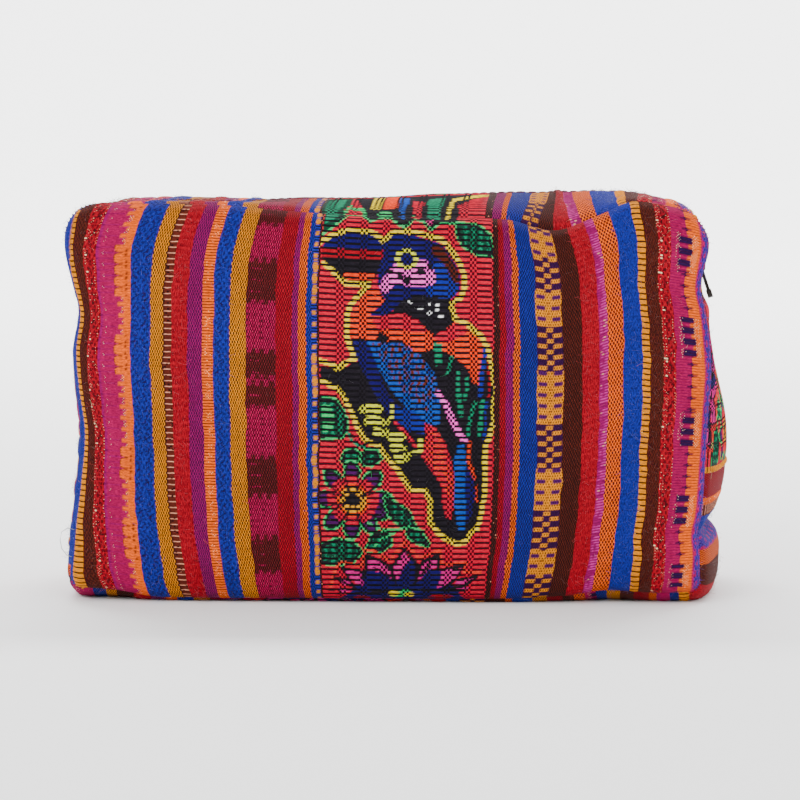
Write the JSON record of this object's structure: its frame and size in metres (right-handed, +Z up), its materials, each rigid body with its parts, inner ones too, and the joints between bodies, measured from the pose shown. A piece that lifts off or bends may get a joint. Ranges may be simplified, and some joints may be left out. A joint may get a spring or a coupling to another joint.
{
  "type": "zipped wash bag",
  "caption": "Box-shaped wash bag of striped handwoven cloth, closed by a zip along its top and upper sides, with a hinged pull tab.",
  "frame": {"origin": "on the ground under the middle of the whole bag", "axes": "+X the viewer's right along the bag, -Y the front with the bird band, +Z up"},
  "size_m": [0.2536, 0.112, 0.1551],
  "materials": {
    "woven_cloth": "handwoven cotton in bright stripes with a figured band, matt with a soft fuzz",
    "zip_tape": "woven polyester tape, black",
    "zip_teeth": "nylon coil, satin black",
    "dark_metal": "die-cast metal with a dark gunmetal finish"
  },
  "bodies": {
    "bag": {"front_panel": "woven_cloth", "back_panel": "woven_cloth", "base_gusset": "woven_cloth", "top_strip_front": "woven_cloth", "top_strip_back": "woven_cloth", "zipper_tape_front": "zip_tape", "zipper_tape_back": "zip_tape", "zipper_teeth": "zip_teeth", "slider": "dark_metal"},
    "pull": {"pull_tab": "dark_metal"}
  },
  "joints": [
    {"name": "pull_swing", "type": "hinge", "parent": "bag", "child": "pull", "pos_m": [0.11704, 0, 0.12598], "axis": [0, -1, 0], "range_deg": [0, 120]}
  ]
}
